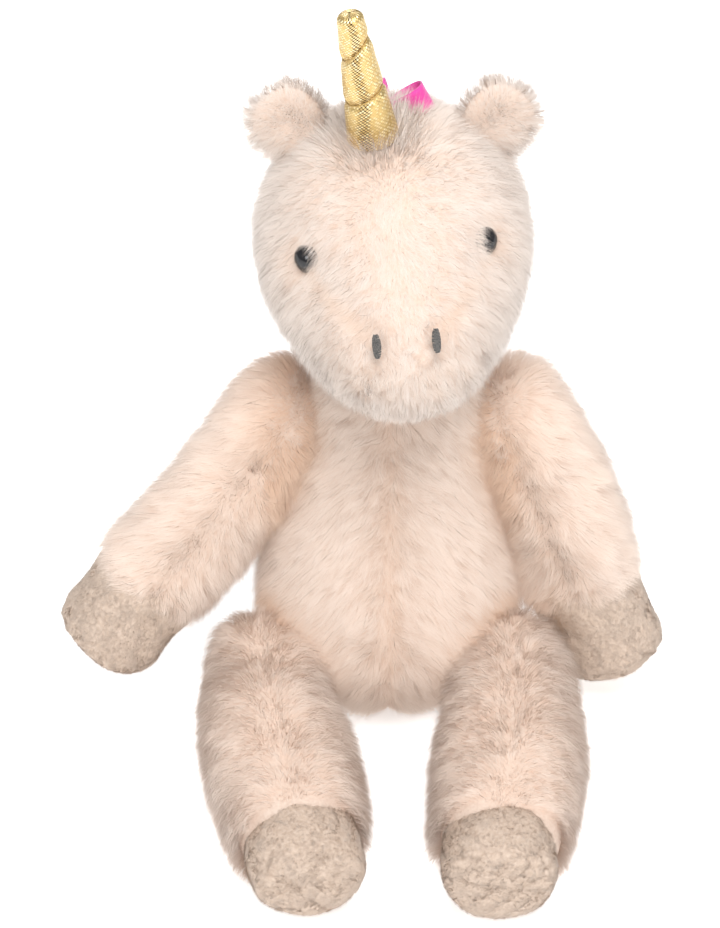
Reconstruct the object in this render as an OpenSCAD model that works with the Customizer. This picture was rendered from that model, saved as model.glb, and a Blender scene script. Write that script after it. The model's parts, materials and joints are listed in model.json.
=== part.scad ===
// Seated plush unicorn: pelt covers over stuffing, short-pile hooves, a foil horn and ribbon trims.
// Millimetres. The seat's centre is the origin, +Z is up and the face looks along -Y.

/* [Torso] */
// Radius of the belly, fur included
belly_r = 52; // [50:0.5:54]
// Radius of the chest
chest_r = 38; // [36:0.5:40]
// Height of the belly's centre above the floor
belly_z = 46; // [44:0.5:48]
// Height of the top of the torso
torso_top = 152; // [148:0.5:154]
// Thickness of the pelt, backing and pile together
pelt = 7; // [5:0.5:8]

/* [Head] */
// Radius of the skull
skull_r = 50.5; // [49:0.5:51]
// Radius of the muzzle
muzzle_r = 32; // [30:0.5:33]
// Reach from the skull's centre to the muzzle's centre
muzzle_reach = 43.2; // [41:0.2:45]
// Downward slope of the face
face_slope = 19.6; // [15:0.2:24]
// Height of the neck pivot
neck_z = 163; // [162:0.5:166]
// Sideways offset of the neck
neck_x = 4.5; // [0:0.5:7]
// Sideways tilt of the head at rest
head_roll = 4.5; // [0:0.5:8]
// Turn of the head at rest
head_yaw = 3.5; // [0:0.5:8]

/* [Face] */
// Diameter of an eye button
eye_d = 10; // [8:0.5:11]
// Width of the top gusset, as an angle about the face's axis
gusset_sweep = 64; // [52:2:80]
// Diameter of an embroidered nostril
nostril_d = 6.5; // [5:0.5:8]

/* [Ears] */
// Radius of an ear
ear_r = 15.5; // [14:0.5:16.5]
// Thickness of an ear
ear_t = 8; // [7:0.5:10]
// Angle of the left ear from the top of the head
ear_angle_left = 36; // [30:1:40]
// Angle of the right ear from the top of the head
ear_angle_right = 47; // [38:1:48]

/* [Horn] */
// Length of the horn
horn_len = 53; // [46:1:60]
// Radius at the horn's base
horn_r = 9; // [8:0.2:10]
// Radius near the horn's tip
horn_tip_r = 4.6; // [4:0.2:5.4]
// Forward lean of the horn
horn_lean = 6; // [0:1:10]
// Sideways lean of the horn
horn_side = 5; // [4.5:0.5:6]

/* [Arms] */
// Distance of the left shoulder from the middle
shoulder_left = 39; // [38:0.5:42]
// Distance of the right shoulder from the middle
shoulder_right = 45; // [42:0.5:46]
// Height of the shoulders
shoulder_z = 129; // [127:0.5:131]
// Radius of an arm
arm_r = 22.5; // [20:0.5:23]
// Spread of the left arm from straight down
arm_spread_left = 36; // [32:1:45]
// Spread of the right arm from straight down
arm_spread_right = 21.5; // [20:0.5:30]
// Forward reach of the left arm
arm_forward_left = 8; // [4:1:9]
// Forward reach of the right arm
arm_forward_right = 1; // [0:1:6]

/* [Legs] */
// Height of the hips
hip_z = 35; // [34:0.5:37]
// Distance of the hips in front of the seat's centre
hip_y = 30; // [28:0.5:32]
// Distance of the left hip from the middle
hip_left = 49; // [47:0.5:50]
// Distance of the right hip from the middle
hip_right = 47; // [45:0.5:48]
// Inward turn of the left leg
leg_turn_left = 10; // [8:0.5:11]
// Inward turn of the right leg
leg_turn_right = 4; // [2:0.5:5]
// Radius of a leg at the hip
hip_r = 19.5; // [18:0.5:20.5]
// Radius of a leg at its fullest
leg_r = 27; // [25:0.5:28]

/* [Hooves] */
// Radius of a hoof
hoof_r = 23.3; // [22:0.1:23.5]
// Wall of a hoof's short-pile cloth
hoof_wall = 2.5; // [2:0.25:3]

/* [Tail] */
// Length of the tail's ribbons
tail_len = 46; // [36:1:48]
// Width of a ribbon
ribbon_w = 10; // [8:0.5:12]

/* [Hidden] */
$fn = 64;
gap = 0.4;
steps = 10;
seat_r = sqrt(belly_r * belly_r - belly_z * belly_z);
chest_z = torso_top - chest_r;
arm_cuff_left = 87;
arm_cuff_right = 80;
arm_seam = 121;
leg_cuff = 92;
leg_seam = 113;
leg_pitch = asin((hip_z - hoof_r - 0.6) / leg_seam);
leg_lift = 50;
ear_hinge = skull_r + ear_t / 2 + 0.5;
ear_back = 8;
cream = "AntiqueWhite";
beige = "Tan";

// ---- Outlines: [radius, height] points for turned solids ----

function reversed(p) = [for (i = [len(p) - 1:-1:0]) p[i]];

// An arc about a centre on the axis, its angles measured from the axis' far end.
function arc(r, z, from, to, n = steps) =
    [for (i = [0:n]) let (a = from + (to - from) * i / n) [max(0, r * sin(a)), z + r * cos(a)]];

// Two balls on one axis joined by their common tangent, from the far pole to the near one.
function capsule(r1, r2, reach, last = 180) =
    let (meet = acos((r1 - r2) / reach))
    concat(arc(r2, reach, 0, meet), arc(r1, 0, meet, last));

// The torso's outline above a flat seat.
function torso_outline(inset, floor_z) =
    let (r = belly_r - inset, low = acos((floor_z - belly_z) / r))
    [for (p = capsule(r, chest_r - inset, chest_z - belly_z, low)) [p[0], p[1] + belly_z]];

// A limb from its rounded root to the open end where its hoof starts.
function limb_r(u, root, middle, end) = root + (end - root) * u + 4 * (middle - (root + end) / 2) * u * (1 - u);
function limb(root, middle, end, reach, inset = 0) =
    concat([for (i = [steps:-1:1]) let (u = i / steps) [limb_r(u, root, middle, end) - inset, reach * u]],
           arc(root - inset, 0, 90, 180));

// ---- Shared construction ----

module turned(outline, from = 0, sweep = 360) {
    rotate([0, 0, from]) rotate_extrude(angle = sweep) polygon(outline);
}

module shell(outer, inner, from = 0, sweep = 360) {
    turned(concat(outer, reversed(inner)), from, sweep);
}

module solid(outline, from = 0, sweep = 360) {
    turned(concat(outline, [[0, outline[0][1]]]), from, sweep);
}

module at_shoulder(side, shoulder_x, forward, spread) {
    translate([side * shoulder_x, 0, shoulder_z])
        rotate([-forward, 0, 0]) rotate([0, side * (180 - spread), 0]) children();
}

module at_hip(side, hip_x, turn) {
    translate([side * hip_x, -hip_y, hip_z])
        rotate([90 + leg_pitch, 0, 0]) rotate([0, -side * turn, 0]) children();
}

module at_neck() {
    translate([neck_x, 0, neck_z]) rotate([0, 0, head_yaw]) rotate([0, -head_roll, 0]) children();
}

module at_skull() {
    at_neck() translate([0, 0, skull_r - 4]) children();
}

// The face's axis runs from the skull's centre to the muzzle's, with the top of the head on local +Y.
module along_face() {
    at_skull() rotate([90 + face_slope, 0, 0]) children();
}

module at_left_shoulder() { at_shoulder(-1, shoulder_left, arm_forward_left, arm_spread_left) children(); }
module at_right_shoulder() { at_shoulder(1, shoulder_right, arm_forward_right, arm_spread_right) children(); }
module at_left_hip() { at_hip(-1, hip_left, leg_turn_left) children(); }
module at_right_hip() { at_hip(1, hip_right, leg_turn_right) children(); }

// ---- Torso ----

function arm_outline(cuff, inset) = limb(arm_r, arm_r, arm_r + 1.5, cuff, inset);
function leg_outline(inset) = limb(hip_r, leg_r, leg_r - 2.5, leg_cuff, inset);

// The room that a leg sweeps while it lifts from the floor, as one flat-sided notch.
module hip_notch(side, hip_x, grow) {
    r = leg_r + 0.6 + grow;
    turn_room = 3;
    back = -hip_y + hip_r + grow;
    knee = [-hip_y + r * sin(leg_lift), hip_z + r * cos(leg_lift)];
    far = 70;
    translate([side * (hip_x + far - r - turn_room), 0, 0]) rotate([90, 0, 90])
        linear_extrude(height = 2 * far, center = true)
            polygon([[back, -20], [back, knee[1] + 2], [knee[0], knee[1] + 6],
                     [knee[0] - far, knee[1] + 6 + far * tan(leg_lift)], [-2 * far, -20]]);
}

module sockets(grow) {
    hip_notch(-1, hip_left, grow);
    hip_notch(1, hip_right, grow);
    at_left_shoulder() arm_socket(arm_cuff_left, grow);
    at_right_shoulder() arm_socket(arm_cuff_right, grow);
}

module arm_socket(cuff, grow) {
    sphere(arm_r + grow);
    cylinder(r1 = arm_r + grow, r2 = arm_r + 1.7 + grow, h = cuff);
}

module torso_panel(from, sweep) {
    shell(torso_outline(0, 0), torso_outline(pelt, pelt), from, sweep);
}

module body_front_left() {
    color(cream) difference() {
        torso_panel(180, 90);
        cylinder(r = seat_r, h = pelt + 0.01);
        sockets(gap);
    }
}

module body_front_right() {
    color(cream) difference() {
        torso_panel(270, 90);
        cylinder(r = seat_r, h = pelt + 0.01);
        sockets(gap);
    }
}

module body_back() {
    color(cream) difference() {
        union() {
            torso_panel(0, 180);
            cylinder(r = seat_r, h = pelt);
        }
        sockets(gap);
    }
}

module body_stuffing() {
    color("White") difference() {
        turned(concat(torso_outline(pelt + gap, pelt + gap), [[0, pelt + gap]]));
        translate([0, 6, 34]) scale([1, 1, 0.8]) sphere(22 + gap);
        sockets(pelt);
    }
}

module pellet_bag() {
    color("Gainsboro") translate([0, 6, 34]) scale([1, 1, 0.8]) sphere(22);
}

module neck_seam() {
    color(cream) translate([neck_x, 0, torso_top + 0.3]) cylinder(r = 15, h = 2);
}

// ---- Head ----

function head_outline(inset) = capsule(skull_r - inset, muzzle_r - inset, muzzle_reach);

module eye_place(side) {
    at_skull() rotate([0, 0, side * 46]) rotate([90 - 17, 0, 0]) children();
}

module horn_place() {
    at_skull() rotate([horn_lean, -horn_side, 0]) translate([0, 0, skull_r - 4.5]) children();
}

module face_cuts() {
    for (side = [-1, 1]) eye_place(side) {
        translate([0, 0, skull_r - 5.2]) cylinder(d = eye_d + 1.2, h = 8);
        cylinder(d = 3.6, h = skull_r);
    }
    horn_place() translate([0, 0, -gap]) cylinder(r = horn_r + gap, h = 10);
}

module head_panel(from, sweep) {
    difference() {
        along_face() shell(head_outline(0), head_outline(pelt), from, sweep);
        face_cuts();
    }
}

module head_gusset() { color("Linen") head_panel(90 - gusset_sweep / 2, gusset_sweep); }
module head_side_left() { color("Linen") head_panel(90 + gusset_sweep / 2, 180 - gusset_sweep / 2); }
module head_side_right() { color("Linen") head_panel(270, 180 - gusset_sweep / 2); }

module head_stuffing() {
    color("White") difference() {
        along_face() turned(head_outline(pelt + gap));
        for (side = [-1, 1]) eye_place(side) translate([0, 0, skull_r - pelt - 7]) cylinder(d = 13, h = 10);
    }
}

// A domed button on a stem that passes through the pelt.
module eye(side) {
    color("Black") eye_place(side) translate([0, 0, skull_r - 5]) {
        intersection() {
            translate([0, 0, 4.2 - eye_d * 0.6]) sphere(eye_d * 0.6);
            cylinder(d = eye_d, h = 8);
        }
        translate([0, 0, -7]) cylinder(d = 3, h = 7.5);
    }
}

module eye_left() { eye(-1); }
module eye_right() { eye(1); }

module eye_washer(side) {
    color("WhiteSmoke") eye_place(side) translate([0, 0, skull_r - pelt - 2.2]) difference() {
        cylinder(d = 12, h = 1.5);
        translate([0, 0, -1]) cylinder(d = 3.2, h = 4);
    }
}

module eye_washer_left() { eye_washer(-1); }
module eye_washer_right() { eye_washer(1); }

// Satin stitches lying on the front of the muzzle.
module nostril(side) {
    color("DimGray") along_face() translate([0, 0, muzzle_reach])
        rotate([0, 0, -side * 25]) rotate([-49, 0, 0]) translate([0, 0, muzzle_r + 0.2])
        cylinder(d = nostril_d, h = 1.2);
}

module nostril_left() { nostril(-1); }
module nostril_right() { nostril(1); }

// ---- Horn ----

function horn_outline(inset) = concat(
    arc(horn_tip_r - inset, horn_len - horn_tip_r, 0, 84),
    [for (i = [7:-1:0]) let (u = i / 8)
        [horn_tip_r + (horn_r - horn_tip_r) * (1 - u) + 0.5 * sin(540 * u) * sin(540 * u) - inset,
         (horn_len - horn_tip_r) * u]]);

module horn_cover() {
    color("Gold") difference() {
        horn_place() shell(horn_outline(0), horn_outline(1.2));
        thread_rings(0.15);
    }
}

module horn_stuffing() {
    color("White") horn_place() turned(concat(horn_outline(1.3), [[0, 0]]));
}

// Two slanting turns of thread that pinch the horn into three lobes.
module thread_rings(grow = 0) {
    horn_place() for (u = [0.36, 0.72])
        translate([0, 0, horn_len * u]) rotate([0, -16, 0]) rotate_extrude()
            translate([horn_r + (horn_tip_r - horn_r) * u + 0.6, 0]) circle(r = 0.45 + grow);
}

module horn_thread() { color("DarkGoldenrod") thread_rings(); }

// ---- Ribbons ----

// A tape down the back of the head with ribbon loops standing on it.
module mane_ribbon() {
    color("DeepPink") at_skull() rotate([0, 90, 0]) {
        rotate([0, 0, 84]) rotate_extrude(angle = 80)
            translate([skull_r + 0.1, -ribbon_w / 2]) square([1.2, ribbon_w]);
        for (i = [0:4])
            rotate([0, 0, 164 - 17 * i]) translate([skull_r + 7.2, 0, 0]) rotate([(i % 2 ? -14 : 14), 0, 0])
                rotate_extrude() translate([5.6, -ribbon_w / 2]) square([1.2, ribbon_w]);
    }
}

module tail_ribbon() {
    color("DeepPink") translate([0, belly_r + 3.5, 54]) rotate([18, 0, 0]) {
        translate([-7, -2.5, -5]) cube([14, 6, 6]);
        for (i = [-1:1])
            translate([3 * i - ribbon_w / 2, 2 * i, -tail_len]) cube([ribbon_w, 1.2, tail_len]);
    }
}

// ---- Ears ----

module ear_place(side) {
    at_skull() rotate([0, side < 0 ? -ear_angle_left : ear_angle_right, 0])
        rotate([-atan(ear_back / skull_r), 0, 0]) translate([0, 0, ear_hinge]) children();
}

module ear_half(side, facing) {
    color("Linen") ear_place(side) intersection() {
        union() {
            intersection() {
                translate([0, 0, 4]) rotate([90, 0, 0]) rotate_extrude()
                    polygon(concat([[0, ear_t / 2]],
                        [for (i = [0:steps]) let (a = 90 - 180 * i / steps)
                            [ear_r - ear_t / 2 + ear_t / 2 * cos(a), ear_t / 2 * sin(a)]],
                        [[0, -ear_t / 2]]));
                translate([-20, -10, 0]) cube([40, 20, 40]);
            }
            rotate([0, 90, 0]) cylinder(d = ear_t - 0.4, h = 15, center = true);
        }
        translate([-20, facing < 0 ? -10 : 0, -ear_t / 2]) cube([40, 10, 40]);
    }
}

module ear_front_left() { ear_half(-1, -1); }
module ear_front_right() { ear_half(1, -1); }
module ear_rear_left() { ear_half(-1, 1); }
module ear_rear_right() { ear_half(1, 1); }

// ---- Arms and legs, each built along local +Z from its root ----

module pelt_half(outline_out, outline_in, from) {
    color(cream) shell(outline_out, outline_in, from, 180);
}

module hoof_cuff(start, seam) {
    color(beige) translate([0, 0, start + gap]) difference() {
        cylinder(r = hoof_r, h = seam - start - gap);
        translate([0, 0, -1]) cylinder(r = hoof_r - hoof_wall, h = seam - start + 2);
    }
}

function sole_outline(inset) =
    [for (i = [0:steps]) let (a = 90 * i / steps) [(hoof_r - inset) * pow(sin(a), 0.8), (7 - inset) * cos(a)]];

module hoof_sole(seam) {
    color(beige) translate([0, 0, seam + 0.2]) shell(sole_outline(0), sole_outline(hoof_wall));
}

module hoof_filling(start, seam) {
    color("Gainsboro") translate([0, 0, start + 2])
        cylinder(r = hoof_r - hoof_wall - gap, h = seam - start - 2.4);
}

module arm_half(cuff, from) { pelt_half(arm_outline(cuff, 0), arm_outline(cuff, pelt), from); }
module limb_stuffing(outline) { color("White") solid(outline); }

module arm_outer_left() { at_left_shoulder() arm_half(arm_cuff_left, -90); }
module arm_inner_left() { at_left_shoulder() arm_half(arm_cuff_left, 90); }
module arm_outer_right() { at_right_shoulder() arm_half(arm_cuff_right, 90); }
module arm_inner_right() { at_right_shoulder() arm_half(arm_cuff_right, -90); }
module arm_stuffing_left() { at_left_shoulder() limb_stuffing(arm_outline(arm_cuff_left, pelt + gap)); }
module arm_stuffing_right() { at_right_shoulder() limb_stuffing(arm_outline(arm_cuff_right, pelt + gap)); }
module hand_cuff_left() { at_left_shoulder() hoof_cuff(arm_cuff_left, arm_seam); }
module hand_cuff_right() { at_right_shoulder() hoof_cuff(arm_cuff_right, arm_seam); }
module hand_sole_left() { at_left_shoulder() hoof_sole(arm_seam); }
module hand_sole_right() { at_right_shoulder() hoof_sole(arm_seam); }
module hand_filling_left() { at_left_shoulder() hoof_filling(arm_cuff_left, arm_seam); }
module hand_filling_right() { at_right_shoulder() hoof_filling(arm_cuff_right, arm_seam); }

module leg_outer_left() { at_left_hip() pelt_half(leg_outline(0), leg_outline(pelt), 90); }
module leg_inner_left() { at_left_hip() pelt_half(leg_outline(0), leg_outline(pelt), -90); }
module leg_outer_right() { at_right_hip() pelt_half(leg_outline(0), leg_outline(pelt), -90); }
module leg_inner_right() { at_right_hip() pelt_half(leg_outline(0), leg_outline(pelt), 90); }
module leg_stuffing_left() { at_left_hip() limb_stuffing(leg_outline(pelt + gap)); }
module leg_stuffing_right() { at_right_hip() limb_stuffing(leg_outline(pelt + gap)); }
module foot_cuff_left() { at_left_hip() hoof_cuff(leg_cuff, leg_seam); }
module foot_cuff_right() { at_right_hip() hoof_cuff(leg_cuff, leg_seam); }
module foot_sole_left() { at_left_hip() hoof_sole(leg_seam); }
module foot_sole_right() { at_right_hip() hoof_sole(leg_seam); }
module foot_filling_left() { at_left_hip() hoof_filling(leg_cuff, leg_seam); }
module foot_filling_right() { at_right_hip() hoof_filling(leg_cuff, leg_seam); }

body_front_left();
body_front_right();
body_back();
body_stuffing();
pellet_bag();
neck_seam();
head_side_left();
head_side_right();
head_gusset();
head_stuffing();
eye_left();
eye_right();
eye_washer_left();
eye_washer_right();
nostril_left();
nostril_right();
horn_cover();
horn_stuffing();
horn_thread();
mane_ribbon();
ear_front_left();
ear_front_right();
ear_rear_left();
ear_rear_right();
tail_ribbon();
arm_outer_left();
arm_outer_right();
arm_inner_left();
arm_inner_right();
arm_stuffing_left();
arm_stuffing_right();
hand_cuff_left();
hand_cuff_right();
hand_sole_left();
hand_sole_right();
hand_filling_left();
hand_filling_right();
leg_outer_left();
leg_outer_right();
leg_inner_left();
leg_inner_right();
leg_stuffing_left();
leg_stuffing_right();
foot_cuff_left();
foot_cuff_right();
foot_sole_left();
foot_sole_right();
foot_filling_left();
foot_filling_right();
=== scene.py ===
"""Looks of the seated plush unicorn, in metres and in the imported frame: the seat's centre is the origin,
+Z is up and the face looks along -Y. Left and right are the viewer's."""

import json
import math

import bpy
import numpy as np
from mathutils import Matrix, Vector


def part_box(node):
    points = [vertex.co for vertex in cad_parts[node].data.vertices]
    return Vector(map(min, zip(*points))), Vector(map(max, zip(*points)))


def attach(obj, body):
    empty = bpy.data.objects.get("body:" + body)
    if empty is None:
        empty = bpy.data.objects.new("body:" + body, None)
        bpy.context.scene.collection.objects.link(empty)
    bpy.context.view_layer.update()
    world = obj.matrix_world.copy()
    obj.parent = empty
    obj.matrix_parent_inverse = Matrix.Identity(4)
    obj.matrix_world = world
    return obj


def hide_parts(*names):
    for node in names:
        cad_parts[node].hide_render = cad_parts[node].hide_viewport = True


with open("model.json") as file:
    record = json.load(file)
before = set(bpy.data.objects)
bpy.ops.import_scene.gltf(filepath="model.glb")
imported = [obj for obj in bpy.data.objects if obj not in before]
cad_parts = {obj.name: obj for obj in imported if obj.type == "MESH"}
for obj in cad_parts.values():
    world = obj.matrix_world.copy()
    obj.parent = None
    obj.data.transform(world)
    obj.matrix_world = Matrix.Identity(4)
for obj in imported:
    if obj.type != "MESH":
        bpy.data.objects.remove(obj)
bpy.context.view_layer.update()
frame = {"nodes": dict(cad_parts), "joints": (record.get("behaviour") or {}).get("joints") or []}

MM = 0.001
DENSITY = 1.0  # the share of the fur that is grown
SIDES = {"left": -1, "right": 1}

# -------------------------------------------- sizes, as in the design

PILE = 3.6 * MM  # how far the backing cloth lies under the fur's surface
BELLY_R, BELLY_Z = 52 * MM, 46 * MM
CHEST_R, CHEST_Z = 38 * MM, 114 * MM
SKULL_R, MUZZLE_R, FACE_REACH = 50.5 * MM, 32 * MM, 43.2 * MM
FACE_SLOPE, HEAD_ROLL, HEAD_YAW = math.radians(19.6), math.radians(4.5), math.radians(3.5)
ARM_R, ARM_SEAM = 22.5 * MM, 121 * MM
ARM_CUFF = {"left": 87 * MM, "right": 80 * MM}
HIP_R, LEG_R, LEG_CUFF, LEG_SEAM = 19.5 * MM, 27 * MM, 92 * MM, 113 * MM
ARM_RADII = (ARM_R, ARM_R + 0.3 * MM, ARM_R + 1 * MM)  # at the root, the middle and the cuff
LEG_RADII = (HIP_R, LEG_R, LEG_R - 0.5 * MM)
ARM_BOW, LEG_BOW = {"left": -1.5 * MM, "right": 4.5 * MM}, 2.5 * MM  # how far each limb bows outward
HOOF_R = 23.3 * MM
EAR_R = 15.5 * MM
HORN_LEN, HORN_R, HORN_TIP_R = 53 * MM, 9 * MM, 4.4 * MM
HORN_LEAN, HORN_SIDE = math.radians(6), math.radians(5)
RIBBON_W, TAIL_LEN = 10 * MM, 44 * MM

# -------------------------------------------- camera, lights and floor

VIEW_AIM = (-11 * MM, -6.4 * MM, 109.8 * MM)
VIEW_DISTANCE = 1.2
VIEW_ELEVATION = math.radians(37)


def make_camera():
    data = bpy.data.cameras.new("camera")
    data.lens = 122.5
    data.sensor_width = 36
    camera = bpy.data.objects.new("camera", data)
    bpy.context.scene.collection.objects.link(camera)
    camera.location = (VIEW_AIM[0],
                       VIEW_AIM[1] - VIEW_DISTANCE * math.cos(VIEW_ELEVATION),
                       VIEW_AIM[2] + VIEW_DISTANCE * math.sin(VIEW_ELEVATION))
    camera.rotation_euler = (math.pi / 2 - VIEW_ELEVATION, 0, 0)
    bpy.context.scene.camera = camera


def make_light(name, place, aim, size, power):
    data = bpy.data.lights.new(name, "AREA")
    data.shape = "DISK"
    data.size = size
    data.energy = power
    light = bpy.data.objects.new(name, data)
    bpy.context.scene.collection.objects.link(light)
    light.location = place
    along = np.array(aim) - np.array(place)
    light.rotation_euler = (math.acos(-along[2] / np.linalg.norm(along)), 0,
                            math.atan2(along[0], -along[1]) + math.pi)


def make_stage():
    mesh = bpy.data.meshes.new("floor")
    half, under = 4.0, -0.4 * MM
    corners = [(-half, -half, under), (half, -half, under), (half, half, under), (-half, half, under)]
    mesh.from_pydata(corners, [], [(0, 1, 2, 3)])
    floor = bpy.data.objects.new("floor", mesh)
    bpy.context.scene.collection.objects.link(floor)
    mesh.materials.append(new_material("floor", (0.94, 0.94, 0.94), 0.9, Emission_Color=(1, 1, 1, 1),
                                       Emission_Strength=0.5))
    bpy.context.scene.view_settings.view_transform = "Standard"
    world = bpy.data.worlds.new("studio")
    bpy.context.scene.world = world
    world.use_nodes = True
    background = world.node_tree.nodes["Background"]
    background.inputs["Color"].default_value = (1, 1, 1, 1)
    background.inputs["Strength"].default_value = 0.45
    make_light("key", (-1.0, -1.5, 1.1), (0, 0, 0.1), 0.8, 10)
    make_light("fill", (1.2, -1.5, 0.8), (0, 0, 0.1), 0.9, 9)
    make_light("top", (0.1, -0.6, 1.7), (0, 0, 0.1), 1.0, 26)
    make_light("back", (-0.4, 1.7, 1.1), (0, 0, 0.1), 1.0, 12)


# -------------------------------------------- small maths

def unit(v):
    v = np.asarray(v, float)
    return v / np.maximum(np.linalg.norm(v, axis=-1, keepdims=True), 1e-12)


def smooth(x, low, high):
    t = np.clip((x - low) / (high - low), 0, 1)
    return t * t * (3 - 2 * t)


def noise(p, size, seed):
    """Smooth random vectors that change over about size, for many points at once."""
    rng = np.random.default_rng(seed)
    waves = unit(rng.normal(size=(7, 3))) * rng.uniform(0.6, 1.6, (7, 1)) * 2 * math.pi / size
    turns = rng.uniform(0, 2 * math.pi, (7, 3))
    return sum(np.sin((p @ w)[:, None] + t) for w, t in zip(waves, turns)) / 2.6


def middle(node):
    low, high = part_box(node)
    return (np.array(low) + np.array(high)) / 2


class Place:
    """A local frame: its origin and its x, y and z directions."""

    def __init__(self, origin, x, y, z):
        self.origin = np.asarray(origin, float)
        self.axes = np.array([x, y, z], float)

    def out(self, p):
        return self.origin + np.asarray(p, float) @ self.axes

    def into(self, p):
        return (np.asarray(p, float) - self.origin) @ self.axes.T

    def turn(self, v):
        return np.asarray(v, float) @ self.axes


# -------------------------------------------- the skeleton, from the frame

joint = {j["name"]: j for j in frame["joints"]}


def joint_place(name):
    return np.array(joint[name]["pos_m"])


def limb_place(root, filling, turn=0.0):
    """A limb's frame: z runs from its root to its hoof, and -y is the side that faces the viewer, or the
    side at an angle from it, where the rough front seam lies."""
    z = unit(middle(filling) - root)
    ahead = np.array([0.0, -0.75, 0.66])
    x = unit(np.cross(z, ahead))
    y = np.cross(z, x)
    return Place(root, x * math.cos(turn) - y * math.sin(turn), y * math.cos(turn) + x * math.sin(turn), z)


ARMS = {s: limb_place(joint_place("arm_raise_" + s), "hand_filling_" + s, -SIDES[s] * math.radians(25))
        for s in SIDES}
LEGS = {s: limb_place(joint_place("leg_lift_" + s), "foot_filling_" + s) for s in SIDES}


def head_places():
    """The skull's frame, with x across the ears, and the face's, with z along the nose and y to its top."""
    y = np.array([-math.sin(HEAD_YAW), math.cos(HEAD_YAW), 0])
    x = np.array([math.cos(HEAD_YAW) * math.cos(HEAD_ROLL), math.sin(HEAD_YAW) * math.cos(HEAD_ROLL),
                  math.sin(HEAD_ROLL)])
    z = np.cross(x, y)
    centre = joint_place("head_nod") + z * (SKULL_R - 4 * MM)
    nose = -y * math.cos(FACE_SLOPE) - z * math.sin(FACE_SLOPE)
    top = z * math.cos(FACE_SLOPE) - y * math.sin(FACE_SLOPE)
    return Place(centre, x, y, z), Place(centre, x, top, nose)


SKULL, FACE = head_places()
EYES = {s: middle("eye_" + s) for s in SIDES}
NOSTRILS = {s: middle("nostril_" + s) for s in SIDES}


def ear_place(side):
    root = joint_place("ear_fold_" + side)
    x = unit(joint["ear_fold_" + side]["axis"])
    z = unit(root - SKULL.origin)
    return Place(root, x, np.cross(z, x), z)


EARS = {s: ear_place(s) for s in SIDES}

# -------------------------------------------- materials


def new_material(name, colour, roughness, **inputs):
    material = bpy.data.materials.new(name)
    material.use_nodes = True
    shader = material.node_tree.nodes["Principled BSDF"]
    shader.inputs["Base Color"].default_value = (*colour, 1)
    shader.inputs["Roughness"].default_value = roughness
    for key, value in inputs.items():
        shader.inputs[key.replace("_", " ")].default_value = value
    return material


def add(tree, kind, **settings):
    node = tree.nodes.new(kind)
    for key, value in settings.items():
        setattr(node, key, value)
    return node


def maths(tree, operation, a, b=None):
    node = add(tree, "ShaderNodeMath", operation=operation)
    for socket, value in zip(node.inputs, (a, b)):
        if isinstance(value, (int, float)):
            socket.default_value = value
        elif value is not None:
            tree.links.new(value, socket)
    return node.outputs[0]


def ramp(tree, factor, stops):
    """A colour ramp from (place, colour) stops."""
    node = add(tree, "ShaderNodeValToRGB")
    band = node.color_ramp.elements
    while len(band) < len(stops):
        band.new(0.5)
    for element, (place, colour) in zip(band, stops):
        element.position = place
        element.color = (*colour, 1)
    tree.links.new(factor, node.inputs[0])
    return node.outputs[0]


def mixed(tree, factor, a, b, mode="MIX"):
    node = add(tree, "ShaderNodeMix", data_type="RGBA", blend_type=mode)
    if isinstance(factor, (int, float)):
        node.inputs[0].default_value = factor
    else:
        tree.links.new(factor, node.inputs[0])
    for socket, value in ((node.inputs[6], a), (node.inputs[7], b)):
        if isinstance(value, tuple):
            socket.default_value = (*value, 1)
        else:
            tree.links.new(value, socket)
    return node.outputs[2]


def bump(tree, shader, height, strength, distance):
    node = add(tree, "ShaderNodeBump")
    node.inputs["Strength"].default_value = strength
    node.inputs["Distance"].default_value = distance
    tree.links.new(height, node.inputs["Height"])
    tree.links.new(node.outputs[0], shader.inputs["Normal"])


def object_noise(tree, scale, detail):
    coords = add(tree, "ShaderNodeTexCoord")
    node = add(tree, "ShaderNodeTexNoise")
    node.inputs["Scale"].default_value = scale
    node.inputs["Detail"].default_value = detail
    tree.links.new(coords.outputs["Object"], node.inputs["Vector"])
    return node.outputs["Fac"]


def fur_material(name, root, middle_colour, tip, glow):
    """Pile that runs from a warm, darker root to a pale tip, each tuft a little lighter or darker. The
    darker root is partly the fibres' own warm colour and partly painted shade deep in the pile. Its faint
    glow stands for the light that fine fibres pass on to each other."""
    material = new_material(name, tip, 0.9, Sheen_Weight=0.2, Sheen_Roughness=0.5, Specular_IOR_Level=0.15,
                            Emission_Color=(*root, 1), Emission_Strength=glow)
    tree = material.node_tree
    strand = add(tree, "ShaderNodeAttribute", attribute_name="strand")
    parts = add(tree, "ShaderNodeSeparateColor")
    tree.links.new(strand.outputs["Color"], parts.inputs[0])
    # darker towards the root: partly the fibres' own colour, partly painted shade deep in the pile
    along = ramp(tree, parts.outputs[0], [(0.0, root), (0.45, middle_colour), (1.0, tip)])
    tuft = ramp(tree, parts.outputs[1], [(0.0, (0.84, 0.74, 0.66)), (1.0, (1.0, 1.0, 1.0))])
    # painted shade: the fur is darker and warmer where it lies in creases and seams or against another part
    painted_shade = ramp(tree, parts.outputs[2], [(0.0, (1.0, 1.0, 1.0)), (1.0, (0.95, 0.82, 0.71))])
    colour = mixed(tree, 1.0, mixed(tree, 1.0, along, tuft, "MULTIPLY"), painted_shade, "MULTIPLY")
    tree.links.new(colour, tree.nodes["Principled BSDF"].inputs["Base Color"])
    return material


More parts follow.
